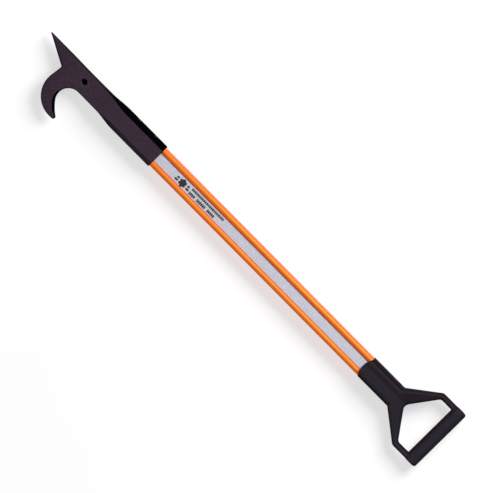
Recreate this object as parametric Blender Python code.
"""A short firefighter's pike pole: steel pike and hook head, dog-bone fibreglass pole and moulded D grip.

Metres, +Z up. The tool lies on its back: the pike points along -X, the hook hangs towards -Y and the front
face looks up. Every part is placed from one empty at the pike's tip: x runs from the tip along the pole,
y and z are measured from the pole's axis.
"""

import math

import bmesh
import bpy
from mathutils import Matrix

# Whole tool
LENGTH = 0.9144  # 36 in from the pike's tip to the back of the grip
REST_HEIGHT = 0.018  # the pole's axis above the surface that the socket and the collar lie on
GAP = 0.0003  # between pieces that touch

# Head: a blade with the pike and the hook
BLADE_HALF = 0.0095  # half the blade's thickness
EDGE_SLOPE = 1.6  # depth of every edge bevel over its width
EDGE_BEVEL = 0.0015
PIKE_BEVEL = 0.0026  # wider, ground bevel under the pike
HOOK_BEVEL = 0.0044  # wider, ground bevel inside the hook's point
POINT_BEVEL = 0.0005
PIKE_TOP = 0.0203  # y of the pike's back at its point
PIKE_BLUNT = 0.0014  # width of the point
PIKE_TIP_LENGTH = 0.0060  # of the point's short taper along the back
PIKE_EDGE_START = 0.0120  # x where the ground bevel under the pike has its full width
NECK_TOP = 0.0190  # y of the neck's back edge
NECK_BOTTOM = -0.0179
NECK_BACK_START = 0.0900  # x where the pike's back becomes parallel to the pole
NOTCH = (0.0517, -0.0079)  # corner between the pike and the hook
NOTCH_RADIUS = 0.0025
HOOK_CENTRE = (0.0931, -0.0346)
HOOK_RADIUS = 0.0446
THROAT_CENTRE = (0.1001, -0.0405)
THROAT_RADIUS = THROAT_CENTRE[1] * -1 + NECK_BOTTOM
THROAT_END = math.radians(219)  # where the throat gives way to the flatter inside of the point
POINT_RADIUS = 0.1110  # inside of the hook's point
HOOK_TIP_RADIUS = 0.0032
PIKE_TAPER_START = 0.0500  # x below which the blade thins towards the pike's point
PIKE_TAPER = 0.22  # thickness left at the point
HOOK_TAPER_START = -0.0420
HOOK_TAPER_END = -0.0792
HOOK_TAPER = 0.60
HOLE = (0.0952, 0.0010)
HOLE_RADIUS = 0.00525
HOLE_DEPTH = 0.0100
NOTCH_STEPS = 4
BACK_STEPS = 20
TIP_STEPS = 7
INSIDE_STEPS = 6
THROAT_STEPS = 16
THROAT_BEVEL_STEPS = 9  # of those, over which the ground bevel narrows to the plain one

# Head: the neck grows into an eight-sided socket
NECK_END = 0.1040
RISE_END = 0.1720  # the face has risen to the socket's thickness
FLARE_START = 0.1400
FLARE_END = 0.1790
SOCKET_END = 0.2650
SOCKET_HALF_WIDTH = 0.0212
SOCKET_HALF_DEPTH = REST_HEIGHT
SOCKET_HALF_FACE = 0.0131
SOCKET_HALF_SIDE = 0.0105
BORE_DEPTH = 0.0850
MOUTH_CHAMFER = 0.0006
RISE_STEPS = 5
FLARE_STEPS = 10

# Pole: dog-bone section with a flat channel on each face
POLE_START = 0.1805
POLE_END = 0.8150
POLE_HALF_WIDTH = 0.01905  # 1.5 in wide
POLE_HALF_DEPTH = 0.0125
CHANNEL_HALF_DEPTH = 0.0089
LOBE_RADIUS = 0.005275
POLE_WALL = 0.0040
GRIP_TRIM = 0.0169  # half width of the pole where it enters the grip
CORE_START = 0.2625
CORE_END = 0.7515

# Reflective strips
STRIP_HALF_WIDTH = 0.0083
STRIP_THICKNESS = 0.0004
STRIP_START = 0.2560
STRIP_END = 0.7560

# Grip
MOUTH_CENTRE = 0.7385  # x of the collar's lip on the faces
MOUTH_SIDE = 0.7434  # x of the collar's lip on the sides
LIP_HALF_WIDTH = 0.0165  # of the lip's curve, beyond which it is straight
COLLAR_HALF_WIDTH = 0.0198
COLLAR_CORNER = 0.0095
COLLAR_END = 0.8118
COLLAR_BLEND_END = 0.8270
COLLAR_BLEND_STEPS = 6
COLLAR_BLEND_WIDTH = 0.62  # share of the collar's width, and below of its corners, left inside the yoke
COLLAR_BLEND_CORNER = 0.75
COLLAR_BLEND_SINK = 0.0010  # how far the collar's end lies below the yoke's faces
FORK_X = 0.8104  # where the arms leave the collar
FORK_HALF_WIDTH = 0.0180
FORK_ROUND = 0.0060
FORK_START = 0.7904  # the yoke's outline starts here, hidden in the collar
FORK_HALF_DEPTH = 0.0168  # half the yoke's thickness there
ARM_HALF_DEPTH = 0.0105
ARM_THIN_X = 0.8560  # where the arms have thinned to that
ARM_EDGE = 0.0042
YOKE_SLICES = 10
GRIP_HALF_WIDTH = 0.0592
SHOULDER_X = 0.8630  # where the arms turn into the side legs
SHOULDER_ROUND = 0.0100
APEX_X = 0.8307  # where the inner sides of the arms would meet
APEX_ROUND = 0.0115
ARM_INNER_HALF = 0.0495  # half height of the hand opening
ARM_INNER_X = 0.8665
ARM_INNER_ROUND = 0.0065
BAR_START = 0.8900
YOKE_OVERLAP = 0.0040  # how far the hand opening's outline runs into the bar
YOKE_BACK = 0.0100  # the yoke ends this far inside the bar's back
BAR_HALF_DEPTH = 0.0135
BAR_POWER = 2.6  # roundness of the bar's section: 2 is an ellipse
BAR_CHAMFER = 0.0028
BAR_SIDES = 28
BAR_END_STEPS = 3

# Slotted spring pins across the narrow sides
PIN_RADIUS = 0.0030
PIN_WALL = 0.0012
PIN_SLOT = math.radians(24)
PIN_INSET = 0.0004
SOCKET_PINS = (0.2020, 0.2400)
GRIP_PIN = 0.7920

HOOK_BOTTOM = HOOK_CENTRE[1] - HOOK_RADIUS
AXIS_Y = -(HOOK_BOTTOM + GRIP_HALF_WIDTH) / 2  # the hook and the grip reach equally far from the middle
LOBE_CENTRE = (POLE_HALF_WIDTH - LOBE_RADIUS, POLE_HALF_DEPTH - LOBE_RADIUS)
STRIP_ROOM = GAP + STRIP_THICKNESS + GAP  # from the channel's floor to what covers the strip
CUTTER_REACH = 0.0300  # past the outer surface of anything that is cut
OVERRUN = 0.0100  # of a cutter past an open end


# ---------------------------------------------------------------- scene helpers


def collection(name):
    made = bpy.data.collections.new(name)
    bpy.context.scene.collection.children.link(made)
    return made


def material(name, colour, roughness, metallic=0.0):
    made = bpy.data.materials.new(name)
    made.use_nodes = True
    shader = made.node_tree.nodes["Principled BSDF"]
    shader.inputs["Base Color"].default_value = (*colour, 1)
    shader.inputs["Roughness"].default_value = roughness
    shader.inputs["Metallic"].default_value = metallic
    made.diffuse_color = (*colour, 1)
    return made


def add_part(name, mesh, look):
    part = bpy.data.objects.new(name, mesh)
    mesh.materials.clear()
    mesh.materials.append(look)
    parts.objects.link(part)
    part.parent = tip
    return part


def add_cutter(name, mesh):
    cutter = bpy.data.objects.new(name, mesh)
    cutters.objects.link(cutter)
    cutter.parent = tip
    cutter.hide_render = True
    cutter.display_type = "WIRE"
    return cutter


def combine(part, other, operation):
    step = part.modifiers.new(other.name, "BOOLEAN")
    step.operation = operation
    step.object = other
    step.solver = "EXACT"


# ---------------------------------------------------------------- shape helpers


def arc(centre, radius, start, end, steps):
    """Points along an arc between two angles in radians, both ends included."""
    points = []
    for i in range(steps + 1):
        angle = start + (end - start) * i / steps
        points.append((centre[0] + radius * math.cos(angle), centre[1] + radius * math.sin(angle)))
    return points


def rounded(corners, steps=5):
    """A closed outline from (x, y, radius) corners, each corner an arc that is tangent to its two sides."""
    points = []
    count = len(corners)
    for i, (x, y, radius) in enumerate(corners):
        if radius == 0:
            points.append((x, y))
            continue
        before = corners[i - 1]
        after = corners[(i + 1) % count]
        to_before = math.atan2(before[1] - y, before[0] - x)
        to_after = math.atan2(after[1] - y, after[0] - x)
        half = (to_after - to_before) / 2
        half = math.atan2(math.sin(half), math.cos(half))
        reach = radius / abs(math.sin(half))
        middle = to_before + half
        centre = (x + reach * math.cos(middle), y + reach * math.sin(middle))
        if math.cos(half) < 0:
            centre = (x - reach * math.cos(middle), y - reach * math.sin(middle))
        start = math.atan2(*foot(centre, (x, y), to_before)[::-1])
        end = math.atan2(*foot(centre, (x, y), to_after)[::-1])
        turn = math.atan2(math.sin(end - start), math.cos(end - start))
        points += arc(centre, radius, start, start + turn, steps)
    return points


def foot(centre, corner, direction):
    """From the centre to the nearest point of the line that leaves the corner in a direction."""
    side = (math.cos(direction), math.sin(direction))
    along = (centre[0] - corner[0]) * side[0] + (centre[1] - corner[1]) * side[1]
    return corner[0] + along * side[0] - centre[0], corner[1] + along * side[1] - centre[1]


def smooth_step(x, start, end):
    share = min(max((x - start) / (end - start), 0), 1)
    return share * share * (3 - 2 * share)


def mix(first, second, share):
    return first + (second - first) * share


def prism(name, outlines, low, high, along="Z", edge=0.0):
    """Closed outlines, a second one being a hole, swept from low to high along an axis, as a welded mesh.

    An outline holds (x, y) along Z, (y, z) along X and (z, x) along Y. Its edges may be rounded.
    """
    curve = bpy.data.curves.new(name, "CURVE")
    curve.dimensions = "2D"
    curve.fill_mode = "BOTH"
    curve.extrude = (high - low) / 2 - edge
    curve.bevel_depth = edge
    curve.bevel_resolution = 1
    curve.offset = -edge
    for outline in outlines:
        spline = curve.splines.new("POLY")
        spline.points.add(len(outline) - 1)
        spline.use_cyclic_u = True
        for point, (first, second) in zip(spline.points, outline):
            point.co = (first, second, 0, 1)
    flat = bpy.data.objects.new(name, curve)
    bpy.context.scene.collection.objects.link(flat)
    bpy.context.view_layer.update()
    mesh = bpy.data.meshes.new_from_object(flat.evaluated_get(bpy.context.evaluated_depsgraph_get()))
    bpy.data.objects.remove(flat)
    turns = {
        "Z": Matrix.Identity(4),
        "X": Matrix(((0, 0, 1, 0), (1, 0, 0, 0), (0, 1, 0, 0), (0, 0, 0, 1))),
        "Y": Matrix(((0, 1, 0, 0), (0, 0, 1, 0), (1, 0, 0, 0), (0, 0, 0, 1))),
    }
    mesh.transform(turns[along] @ Matrix.Translation((0, 0, (low + high) / 2)))
    weld(mesh)
    mesh.name = name
    return mesh


def weld(mesh):
    shape = bmesh.new()
    shape.from_mesh(mesh)
    bmesh.ops.remove_doubles(shape, verts=shape.verts, dist=1e-6)
    bmesh.ops.recalc_face_normals(shape, faces=shape.faces)
    if shape.calc_volume(signed=True) < 0:
        bmesh.ops.reverse_faces(shape, faces=shape.faces)
    shape.to_mesh(mesh)
    shape.free()


def loft(name, rings):
    """A closed solid through rings of equally many (x, y, z) points, with a flat cap on each end."""
    shape = bmesh.new()
    rows = [[shape.verts.new(point) for point in ring] for ring in rings]
    count = len(rings[0])
    for first, second in zip(rows, rows[1:]):
        for i in range(count):
            j = (i + 1) % count
            shape.faces.new((first[i], first[j], second[j], second[i]))
    shape.faces.new(rows[0])
    shape.faces.new(rows[-1])
    bmesh.ops.recalc_face_normals(shape, faces=shape.faces)
    mesh = bpy.data.meshes.new(name)
    shape.to_mesh(mesh)
    shape.free()
    return mesh


def bore(name, x, y, z, radius, depth, axis):
    """A round cutter centred at a place, along Y or Z."""
    turn = (math.pi / 2, 0, 0) if axis == "Y" else (0, 0, 0)
    bpy.ops.mesh.primitive_cylinder_add(vertices=24, radius=radius, depth=depth, rotation=turn)
    made = bpy.context.object
    mesh = made.data
    mesh.transform(Matrix.Translation((x, y, z)) @ made.matrix_world)
    bpy.data.objects.remove(made)
    return add_cutter(name, mesh)


# ---------------------------------------------------------------- pike head


def two_circles(first, first_radius, second, second_radius):
    """The lower of the two places at these distances from the two centres."""
    across, up = second[0] - first[0], second[1] - first[1]
    apart = math.hypot(across, up)
    along = (first_radius**2 - second_radius**2 + apart**2) / (2 * apart)
    side = math.sqrt(first_radius**2 - along**2)
    middle = (first[0] + along * across / apart, first[1] + along * up / apart)
    places = [
        (middle[0] + turn * side * up / apart, middle[1] - turn * side * across / apart) for turn in (-1, 1)
    ]
    return min(places, key=lambda place: place[1])


def direction(start, end):
    return math.atan2(end[1] - start[1], end[0] - start[0])


def head_outline():
    """(x, y, bevel) from the neck's back edge, round the pike and the hook, to the neck's lower edge."""
    points = [(NECK_END, NECK_TOP, EDGE_BEVEL), (NECK_BACK_START, NECK_TOP, EDGE_BEVEL)]
    tip_back = mix(PIKE_TOP, NECK_TOP, PIKE_TIP_LENGTH / NECK_BACK_START)
    points.append((PIKE_TIP_LENGTH, tip_back, POINT_BEVEL * 2))
    points += [(0, PIKE_TOP, POINT_BEVEL), (0, PIKE_TOP - PIKE_BLUNT, POINT_BEVEL)]
    pike_foot = (0, PIKE_TOP - PIKE_BLUNT)
    slope = (NOTCH[1] - pike_foot[1]) / NOTCH[0]
    points.append((PIKE_EDGE_START, pike_foot[1] + slope * PIKE_EDGE_START, PIKE_BEVEL))

    # The notch is rounded between the pike's edge and a line that runs tangent to the hook's back.
    to_notch = direction(HOOK_CENTRE, NOTCH)
    away = math.dist(HOOK_CENTRE, NOTCH)
    back_start = to_notch + math.acos(HOOK_RADIUS / away)
    tangent = (
        HOOK_CENTRE[0] + HOOK_RADIUS * math.cos(back_start),
        HOOK_CENTRE[1] + HOOK_RADIUS * math.sin(back_start),
    )
    corner = rounded([(*pike_foot, 0), (*NOTCH, NOTCH_RADIUS), (*tangent, 0)], NOTCH_STEPS)[1:-1]
    bevels = [mix(PIKE_BEVEL, EDGE_BEVEL, i / (len(corner) - 1)) for i in range(len(corner))]
    points += [(x, y, bevel) for (x, y), bevel in zip(corner, bevels)]

    inner_centre = (
        THROAT_CENTRE[0] - (POINT_RADIUS - THROAT_RADIUS) * math.cos(THROAT_END),
        THROAT_CENTRE[1] - (POINT_RADIUS - THROAT_RADIUS) * math.sin(THROAT_END),
    )
    tip_centre = two_circles(
        HOOK_CENTRE, HOOK_RADIUS - HOOK_TIP_RADIUS, inner_centre, POINT_RADIUS + HOOK_TIP_RADIUS
    )
    full = 2 * math.pi
    back_end = direction(HOOK_CENTRE, tip_centre) % full
    tip_end = direction(tip_centre, inner_centre) + full
    inner_start = direction(inner_centre, tip_centre) % full
    back = arc(HOOK_CENTRE, HOOK_RADIUS, back_start, back_end, BACK_STEPS)
    points += [(x, y, EDGE_BEVEL) for x, y in back[:-1]]
    around = arc(tip_centre, HOOK_TIP_RADIUS, back_end, tip_end, TIP_STEPS)
    points += [(x, y, EDGE_BEVEL) for x, y in around[:-1]]
    inside = arc(inner_centre, POINT_RADIUS, inner_start, THROAT_END, INSIDE_STEPS)
    points += [
        (x, y, mix(EDGE_BEVEL, HOOK_BEVEL, min(1, i / 2))) for i, (x, y) in enumerate(inside[:-1])
    ]
    throat = arc(THROAT_CENTRE, THROAT_RADIUS, THROAT_END, math.pi / 2, THROAT_STEPS)
    for i, (x, y) in enumerate(throat):
        points.append((x, y, mix(HOOK_BEVEL, EDGE_BEVEL, smooth_step(i, 0, THROAT_BEVEL_STEPS))))
    points.append((NECK_END, NECK_BOTTOM, EDGE_BEVEL))
    return points


def inset(points):
    """Each outline point moved into the shape by its bevel, at right angles to both its sides."""
    moved = []
    for i, (x, y, bevel) in enumerate(points):
        normals = []
        for start, end in ((i - 1, i), (i, i + 1)):
            if start < 0 or end >= len(points):
                continue
            across, up = points[end][0] - points[start][0], points[end][1] - points[start][1]
            span = math.hypot(across, up)
            normals.append((up / span, -across / span))
        out = [sum(axis) / len(normals) for axis in zip(*normals)]
        scale = bevel / (out[0] ** 2 + out[1] ** 2)
        moved.append((x - out[0] * scale, y - out[1] * scale))
    return moved


def neck_ring(x):
    """The eight corners of the neck or the socket at x, in the order of the blade's end."""
    rise = smooth_step(x, NECK_END, RISE_END)
    flare = smooth_step(x, FLARE_START, FLARE_END)
    neck_half = (NECK_TOP - NECK_BOTTOM) / 2
    centre = mix((NECK_TOP + NECK_BOTTOM) / 2, 0, flare)
    width = mix(neck_half, SOCKET_HALF_WIDTH, flare)
    face = mix(neck_half - EDGE_BEVEL, SOCKET_HALF_FACE, flare)
    depth = mix(BLADE_HALF, SOCKET_HALF_DEPTH, rise)
    side = mix(BLADE_HALF - EDGE_BEVEL * EDGE_SLOPE, SOCKET_HALF_SIDE, (rise + flare) / 2)
    if x == SOCKET_END:
        width, face, depth, side = (value - MOUTH_CHAMFER for value in (width, face, depth, side))
    upper = [(centre + face, depth), (centre + width, side), (centre + width, -side), (centre + face, -depth)]
    lower = [(centre - face, -depth), (centre - width, -side), (centre - width, side), (centre - face, depth)]
    return [(x, y, z) for y, z in upper + lower]


def head_mesh():
    """The bevelled blade, thinned towards both points, running on as the socket."""
    outline = head_outline()
    shallow = inset(outline)
    shape = bmesh.new()
    levels = []
    for sign, full in ((1, False), (1, True), (-1, True), (-1, False)):
        level = []
        for (x, y, bevel), (inner_x, inner_y) in zip(outline, shallow):
            if full:
                level.append(shape.verts.new((x, y, sign * (BLADE_HALF - bevel * EDGE_SLOPE))))
            else:
                level.append(shape.verts.new((inner_x, inner_y, sign * BLADE_HALF)))
        levels.append(level)
    for upper, lower in zip(levels, levels[1:]):
        for i in range(len(outline) - 1):
            shape.faces.new((upper[i], lower[i], lower[i + 1], upper[i + 1]))
    shape.faces.new(levels[0])
    shape.faces.new(levels[3])

    previous = [level[0] for level in levels] + [level[-1] for level in reversed(levels)]
    rise_steps = [mix(NECK_END, FLARE_START, (i + 1) / RISE_STEPS) for i in range(RISE_STEPS)]
    flare_steps = [mix(FLARE_START, FLARE_END, (i + 1) / FLARE_STEPS) for i in range(FLARE_STEPS)]
    for x in rise_steps + flare_steps + [SOCKET_END - MOUTH_CHAMFER, SOCKET_END]:
        ring = [shape.verts.new(corner) for corner in neck_ring(x)]
        for i in range(8):
            j = (i + 1) % 8
            shape.faces.new((previous[i], previous[j], ring[j], ring[i]))
        previous = ring
    shape.faces.new(previous)

    shape.normal_update()  # without normals the concave faces would not be cut
    for place, normal in (((PIKE_TAPER_START, 0, 0), (1, 0, 0)), ((0, HOOK_TAPER_START, 0), (0, 1, 0))):
        everything = shape.verts[:] + shape.edges[:] + shape.faces[:]
        bmesh.ops.bisect_plane(shape, geom=everything, dist=1e-6, plane_co=place, plane_no=normal)
    for vertex in shape.verts:
        x, y, _ = vertex.co
        if x < PIKE_TAPER_START and y > NOTCH[1]:
            vertex.co.z *= mix(PIKE_TAPER, 1, x / PIKE_TAPER_START)
        if y < HOOK_TAPER_START:
            vertex.co.z *= mix(1, HOOK_TAPER, (y - HOOK_TAPER_START) / (HOOK_TAPER_END - HOOK_TAPER_START))
    bmesh.ops.recalc_face_normals(shape, faces=shape.faces)
    mesh = bpy.data.meshes.new("pike_head")
    shape.to_mesh(mesh)
    shape.free()
    return mesh


def pike_head():
    part = add_part("pike_head", head_mesh(), steel)
    bore_start = SOCKET_END - BORE_DEPTH
    socket = prism("socket_bore", [dog_bone(GAP, STRIP_ROOM)], bore_start, SOCKET_END + OVERRUN, "X")
    combine(part, add_cutter("socket_bore", socket), "DIFFERENCE")
    hole_middle = BLADE_HALF + (OVERRUN - HOLE_DEPTH) / 2
    hole = bore("neck_hole", *HOLE, hole_middle, HOLE_RADIUS, HOLE_DEPTH + OVERRUN, "Z")
    combine(part, hole, "DIFFERENCE")
    for i, x in enumerate(SOCKET_PINS):
        combine(part, pin_hole(f"socket_pin_hole_{i + 1}", x), "DIFFERENCE")


# ---------------------------------------------------------------- pole


def dog_bone(grow=0.0, floor_grow=None, half_width=None):
    """The pole's section as (y, z) points, grown by a clearance and cut off at a half width."""
    floor = CHANNEL_HALF_DEPTH + (grow if floor_grow is None else floor_grow)
    radius = LOBE_RADIUS + grow
    start = math.pi - math.asin((floor - LOBE_CENTRE[1]) / radius)
    end = 0.0
    if half_width is not None:
        end = math.acos((half_width + grow - LOBE_CENTRE[0]) / radius)
    quarter = arc(LOBE_CENTRE, radius, start, end, 10)
    upper = quarter[::-1] + [(-y, z) for y, z in quarter]
    return upper + [(-y, -z) for y, z in upper]


def stadium(shrink=0.0):
    """The pole's inner cavity as (y, z) points: a flat slot with round ends."""
    half_width = POLE_HALF_WIDTH - POLE_WALL - shrink
    half_depth = CHANNEL_HALF_DEPTH - POLE_WALL - shrink
    right = arc((half_width - half_depth, 0), half_depth, -math.pi / 2, math.pi / 2, 8)
    return right + [(-y, -z) for y, z in right]


def pole_shell():
    tube = prism("pole_shell", [dog_bone(), stadium()], POLE_START, POLE_END, "X")
    part = add_part("pole_shell", tube, glass)
    for side in (-1, 1):
        low, high = sorted((side * GRIP_TRIM, side * CUTTER_REACH))
        block = [(low, -CUTTER_REACH), (high, -CUTTER_REACH), (high, CUTTER_REACH), (low, CUTTER_REACH)]
        name = f"grip_trim_{'left' if side < 0 else 'right'}"
        trim = prism(name, [block], MOUTH_SIDE - GAP, POLE_END + OVERRUN, "X")
        combine(part, add_cutter(name, trim), "DIFFERENCE")
    for hole in pin_holes:
        combine(part, hole, "DIFFERENCE")


def pole_fillings():
    """The foam in the pole and the solid plugs that the pins pass through."""
    head_plug = prism("head_end_plug", [stadium(GAP)], POLE_START + GAP, CORE_START - GAP, "X")
    part = add_part("head_end_plug", head_plug, plug)
    for hole in pin_holes[:-1]:
        combine(part, hole, "DIFFERENCE")
    grip_plug = prism("grip_end_plug", [stadium(GAP)], CORE_END + GAP, POLE_END - GAP, "X")
    part = add_part("grip_end_plug", grip_plug, plug)
    combine(part, pin_holes[-1], "DIFFERENCE")
    add_part("foam_core", prism("foam_core", [stadium(GAP)], CORE_START, CORE_END, "X"), foam)


def reflective_strips():
    for name, side in (("front_reflective_strip", 1), ("back_reflective_strip", -1)):
        low, high = sorted(side * (CHANNEL_HALF_DEPTH + GAP + extra) for extra in (0, STRIP_THICKNESS))
        corners = [(y, z) for y, z in ((-1, low), (1, low), (1, high), (-1, high))]
        outline = [(y * STRIP_HALF_WIDTH, z) for y, z in corners]
        add_part(name, prism(name, [outline], STRIP_START, STRIP_END, "X"), tape)


# ---------------------------------------------------------------- pins


def pin_hole(name, x):
    return bore(name, x, 0, 0, PIN_RADIUS + GAP, 2 * CUTTER_REACH, "Y")


def spring_pin(name, x, half_width):
    """A slotted tube across the pole, its ends just below the surface."""
    reach = half_width - PIN_INSET
    outer = arc((0, x), PIN_RADIUS, PIN_SLOT / 2, 2 * math.pi - PIN_SLOT / 2, 22)
    inner = arc((0, x), PIN_RADIUS - PIN_WALL, 2 * math.pi - PIN_SLOT / 2, PIN_SLOT / 2, 22)
    add_part(name, prism(name, [outer + inner], -reach, reach, "Y"), pin_steel)


# ---------------------------------------------------------------- D grip


def collar_ring(x):
    """The collar's rounded rectangular section, thinning into the yoke past its end."""
    share = smooth_step(x, COLLAR_END, COLLAR_BLEND_END)
    half_width = COLLAR_HALF_WIDTH * mix(1, COLLAR_BLEND_WIDTH, share)
    half_depth = mix(REST_HEIGHT, yoke_half_depth(COLLAR_BLEND_END) - COLLAR_BLEND_SINK, share)
    corner = COLLAR_CORNER * mix(1, COLLAR_BLEND_CORNER, share)
    points = []
    for centre_y, centre_z, start in ((1, 1, 0), (-1, 1, 1), (-1, -1, 2), (1, -1, 3)):
        centre = (centre_y * (half_width - corner), centre_z * (half_depth - corner))
        points += arc(centre, corner, start * math.pi / 2, (start + 1) * math.pi / 2, 7)
    return [(x, y, z) for y, z in points]


def mouth_plan():
    """Seen from above: everything behind the collar's curved lip."""
    rise = MOUTH_SIDE - MOUTH_CENTRE
    radius = (LIP_HALF_WIDTH**2 + rise**2) / (2 * rise)
    spread = math.asin(LIP_HALF_WIDTH / radius)
    lip = arc((MOUTH_CENTRE + radius, 0), radius, math.pi - spread, math.pi + spread, 16)
    behind = COLLAR_BLEND_END + OVERRUN
    front = [(MOUTH_SIDE, CUTTER_REACH)] + lip + [(MOUTH_SIDE, -CUTTER_REACH)]
    return front + [(behind, -CUTTER_REACH), (behind, CUTTER_REACH)]


def yoke_outlines():
    """The arms and side legs seen from above, running into the hand bar: the outline and the hand opening."""
    half = [
        (FORK_START, -FORK_HALF_WIDTH, 0),
        (FORK_X, -FORK_HALF_WIDTH, FORK_ROUND),
        (SHOULDER_X, -GRIP_HALF_WIDTH, SHOULDER_ROUND),
        (LENGTH - YOKE_BACK, -GRIP_HALF_WIDTH, 0),
    ]
    outer = half + [(x, -y, radius) for x, y, radius in reversed(half)]
    hand = [
        (APEX_X, 0, APEX_ROUND),
        (ARM_INNER_X, -ARM_INNER_HALF, ARM_INNER_ROUND),
        (BAR_START + YOKE_OVERLAP, -ARM_INNER_HALF, 0),
        (BAR_START + YOKE_OVERLAP, ARM_INNER_HALF, 0),
        (ARM_INNER_X, ARM_INNER_HALF, ARM_INNER_ROUND),
    ]
    return [rounded(outer), rounded(hand)]


def yoke_half_depth(x):
    return mix(FORK_HALF_DEPTH, ARM_HALF_DEPTH, smooth_step(x, FORK_X, ARM_THIN_X))


def yoke_mesh():
    """The flat yoke with rounded edges, sliced so that it thins smoothly from the fork to the legs."""
    mesh = prism("yoke", yoke_outlines(), -ARM_HALF_DEPTH, ARM_HALF_DEPTH, edge=ARM_EDGE)
    shape = bmesh.new()
    shape.from_mesh(mesh)
    for i in range(YOKE_SLICES + 1):
        place = (mix(FORK_X, ARM_THIN_X, i / YOKE_SLICES), 0, 0)
        everything = shape.verts[:] + shape.edges[:] + shape.faces[:]
        bmesh.ops.bisect_plane(shape, geom=everything, dist=1e-6, plane_co=place, plane_no=(1, 0, 0))
    for vertex in shape.verts:
        vertex.co.z *= yoke_half_depth(vertex.co.x) / ARM_HALF_DEPTH
    shape.to_mesh(mesh)
    shape.free()
    return mesh


def bar_ring(y, shrink):
    """The hand bar's section: a superellipse in x and z."""
    half_x = (LENGTH - BAR_START) / 2 - shrink
    half_z = BAR_HALF_DEPTH - shrink
    ring = []
    for i in range(BAR_SIDES):
        angle = 2 * math.pi * i / BAR_SIDES
        across, up = math.cos(angle), math.sin(angle)
        x = math.copysign(abs(across) ** (2 / BAR_POWER), across) * half_x
        z = math.copysign(abs(up) ** (2 / BAR_POWER), up) * half_z
        ring.append(((LENGTH + BAR_START) / 2 + x, y, z))
    return ring


def bar_mesh():
    """The hand bar, its ends rounded by a quarter turn."""
    rounding = [i * math.pi / 2 / BAR_END_STEPS for i in range(BAR_END_STEPS + 1)]
    rows = [(BAR_CHAMFER * (1 - math.sin(turn)), BAR_CHAMFER * (1 - math.cos(turn))) for turn in rounding]
    near = [bar_ring(-GRIP_HALF_WIDTH + depth, shrink) for shrink, depth in rows]
    far = [bar_ring(GRIP_HALF_WIDTH - depth, shrink) for shrink, depth in reversed(rows)]
    return loft("hand_bar", near + far)


def d_grip():
    steps = [MOUTH_CENTRE - OVERRUN, COLLAR_END]
    shares = [(i + 1) / COLLAR_BLEND_STEPS for i in range(COLLAR_BLEND_STEPS)]
    steps += [mix(COLLAR_END, COLLAR_BLEND_END, share) for share in shares]
    part = add_part("d_grip", loft("d_grip", [collar_ring(x) for x in steps]), moulding)
    plan = prism("collar_mouth", [mouth_plan()], -CUTTER_REACH, CUTTER_REACH)
    combine(part, add_cutter("collar_mouth", plan), "INTERSECT")
    combine(part, add_cutter("yoke", yoke_mesh()), "UNION")
    combine(part, add_cutter("hand_bar", bar_mesh()), "UNION")
    section = dog_bone(GAP, STRIP_ROOM, GRIP_TRIM)
    socket = prism("collar_bore", [section], MOUTH_CENTRE - OVERRUN, POLE_END + GAP, "X")
    combine(part, add_cutter("collar_bore", socket), "DIFFERENCE")
    combine(part, pin_holes[-1], "DIFFERENCE")


# ---------------------------------------------------------------- build

for old in list(bpy.data.objects):
    bpy.data.objects.remove(old)

parts = collection("pike_pole")
cutters = collection("cutters")
tip = bpy.data.objects.new("pike_tip", None)
tip.location = (-LENGTH / 2, AXIS_Y, REST_HEIGHT)
parts.objects.link(tip)

steel = material("coated_steel", (0.042, 0.027, 0.039), 0.45, 0.2)
pin_steel = material("pin_steel", (0.10, 0.10, 0.10), 0.35, 1.0)
glass = material("orange_fibreglass", (0.85, 0.14, 0.02), 0.35)
plug = material("cast_resin", (0.55, 0.50, 0.36), 0.6)
foam = material("foam", (0.80, 0.72, 0.50), 0.9)
tape = material("reflective_tape", (0.55, 0.56, 0.62), 0.3)
moulding = material("black_moulding", (0.022, 0.018, 0.026), 0.5)

pin_holes = [pin_hole(f"pin_hole_{i + 1}", x) for i, x in enumerate((*SOCKET_PINS, GRIP_PIN))]

pike_head()
pole_shell()
pole_fillings()
reflective_strips()
d_grip()
for index, place in enumerate(SOCKET_PINS):
    spring_pin(f"socket_pin_{index + 1}", place, SOCKET_HALF_WIDTH)
spring_pin("grip_pin", GRIP_PIN, COLLAR_HALF_WIDTH)
